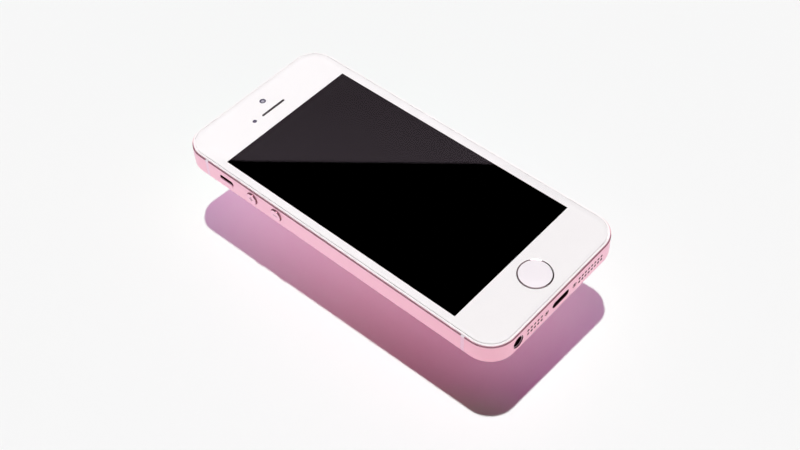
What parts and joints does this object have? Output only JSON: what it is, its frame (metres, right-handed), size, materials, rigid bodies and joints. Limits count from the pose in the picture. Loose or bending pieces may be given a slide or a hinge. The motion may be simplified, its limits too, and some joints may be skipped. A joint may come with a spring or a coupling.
{
  "type": "smartphone",
  "caption": "Slim touch-screen phone with a pink metal band, white glass front, round ringed home button, side keys, slide-out card tray and end-face sockets.",
  "frame": {"origin": "centre of the flat back face, on the surface the phone lies on", "axes": "+X across the width, towards the side with the card tray; +Y along the length, towards the earpiece end; +Z through the thickness, out of the display"},
  "size_m": [0.059, 0.1243, 0.0076],
  "materials": {
    "aluminium_pink": "bead-blasted, anodised pink",
    "aluminium_keys": "fine satin, anodised pink, polished chamfers",
    "glass_clear": "clear, polished",
    "glass_white": "opaque white backed glass, polished",
    "border_white": "white ink",
    "plastic_white": "smooth white",
    "panel_black": "black, optically bonded panel",
    "steel": "stamped, satin",
    "steel_ring": "polished, tinted pink",
    "steel_tool": "tinted screw head",
    "lens_black": "dark coated cover glass",
    "plastic_black": "moulded black",
    "mesh_black": "fine acoustic mesh",
    "rubber_black": "soft",
    "contacts_gold": "gold plated",
    "board": "solder-masked laminate with black chip packages",
    "flex_orange": "polyimide film",
    "battery_wrap": "black printed wrap, no lettering",
    "phosphor": "yellow phosphor on a white base",
    "tungsten": "sintered heavy alloy"
  },
  "bodies": {
    "phone_body": {"antenna_break_left_bottom": "plastic_white", "antenna_break_left_top": "plastic_white", "antenna_break_right_bottom": "plastic_white", "antenna_break_right_top": "plastic_white", "backlight_shield": "steel", "battery": "battery_wrap", "battery_flex": "flex_orange", "board_shield_lower": "steel", "board_shield_upper": "steel", "bottom_microphone": "steel", "camera_lens_cover": "lens_black", "camera_lens_ring": "aluminium_keys", "case_screw_left": "steel_tool", "case_screw_right": "steel_tool", "charging_port": "steel", "charging_port_contacts": "contacts_gold", "cover_border": "border_white", "cover_glass": "glass_clear", "display_flex": "flex_orange", "display_frame": "plastic_white", "dock_flex": "flex_orange", "earpiece_mesh": "mesh_black", "earpiece_speaker": "plastic_black", "flash_lens": "glass_clear", "flash_module": "phosphor", "front_camera_module": "plastic_black", "headphone_jack": "plastic_black", "home_button_bracket": "steel", "home_button_gasket": "rubber_black", "home_button_switch": "steel", "lcd_panel": "panel_black", "logic_board": "board", "loudspeaker_module": "plastic_black", "microphone_mesh": "mesh_black", "mute_contact_switch": "plastic_black", "power_switch": "steel", "proximity_sensor": "plastic_black", "rear_camera_module": "plastic_black", "rear_glass_bottom": "glass_white", "rear_glass_top": "glass_white", "rear_housing": "aluminium_pink", "rear_microphone_mesh": "mesh_black", "side_key_bracket": "steel", "sim_reader": "steel", "speaker_mesh": "mesh_black", "vibration_motor": "steel", "volume_down_switch": "steel", "volume_up_switch": "steel"},
    "home_button": {"home_button_ring": "steel_ring", "home_button_disc": "glass_white", "home_button_sensor": "plastic_black"},
    "volume_up_key": {"volume_up_button": "aluminium_keys"},
    "volume_down_key": {"volume_down_button": "aluminium_keys"},
    "mute_toggle": {"mute_switch": "aluminium_keys"},
    "power_key": {"power_button": "aluminium_keys"},
    "card_tray": {"sim_tray": "aluminium_keys", "sim_card": "plastic_white"},
    "eject_rod": {"sim_eject_rod": "steel"},
    "eject_lever": {"sim_eject_lever": "steel"},
    "vibration_rotor": {"vibration_weight": "tungsten"}
  },
  "joints": [
    {"name": "home_button_press", "type": "slide", "parent": "phone_body", "child": "home_button", "axis": [0, 0, -1], "range_m": [0, 0.0003], "stiffness_N_per_m": 60},
    {"name": "volume_up_press", "type": "slide", "parent": "phone_body", "child": "volume_up_key", "axis": [1, 0, 0], "range_m": [0, 0.0003], "stiffness_N_per_m": 20},
    {"name": "volume_down_press", "type": "slide", "parent": "phone_body", "child": "volume_down_key", "axis": [1, 0, 0], "range_m": [0, 0.0003], "stiffness_N_per_m": 20},
    {"name": "mute_slide", "type": "slide", "parent": "phone_body", "child": "mute_toggle", "axis": [0, 0, 1], "range_m": [0, 0.0009]},
    {"name": "power_press", "type": "slide", "parent": "phone_body", "child": "power_key", "axis": [0, -1, 0], "range_m": [0, 0.0003], "stiffness_N_per_m": 20},
    {"name": "card_tray_slide", "type": "slide", "parent": "phone_body", "child": "card_tray", "axis": [1, 0, 0], "range_m": [0, 0.015]},
    {"name": "eject_rod_push", "type": "slide", "parent": "phone_body", "child": "eject_rod", "axis": [-1, 0, 0], "range_m": [0, 0.001]},
    {"name": "eject_lever_turn", "type": "hinge", "parent": "phone_body", "child": "eject_lever", "pos_m": [0.0149, 0.0158, 0.0038], "axis": [0, 0, 1], "range_deg": [0, 14.33]},
    {"name": "vibration_spin", "type": "hinge", "parent": "phone_body", "child": "vibration_rotor", "pos_m": [-0.022, 0.0516, 0.0031], "axis": [0, 1, 0], "continuous": true}
  ],
  "couplings": [
    {"joint": "eject_lever_turn", "follows": "eject_rod_push", "rad_per_m": 250}
  ]
}
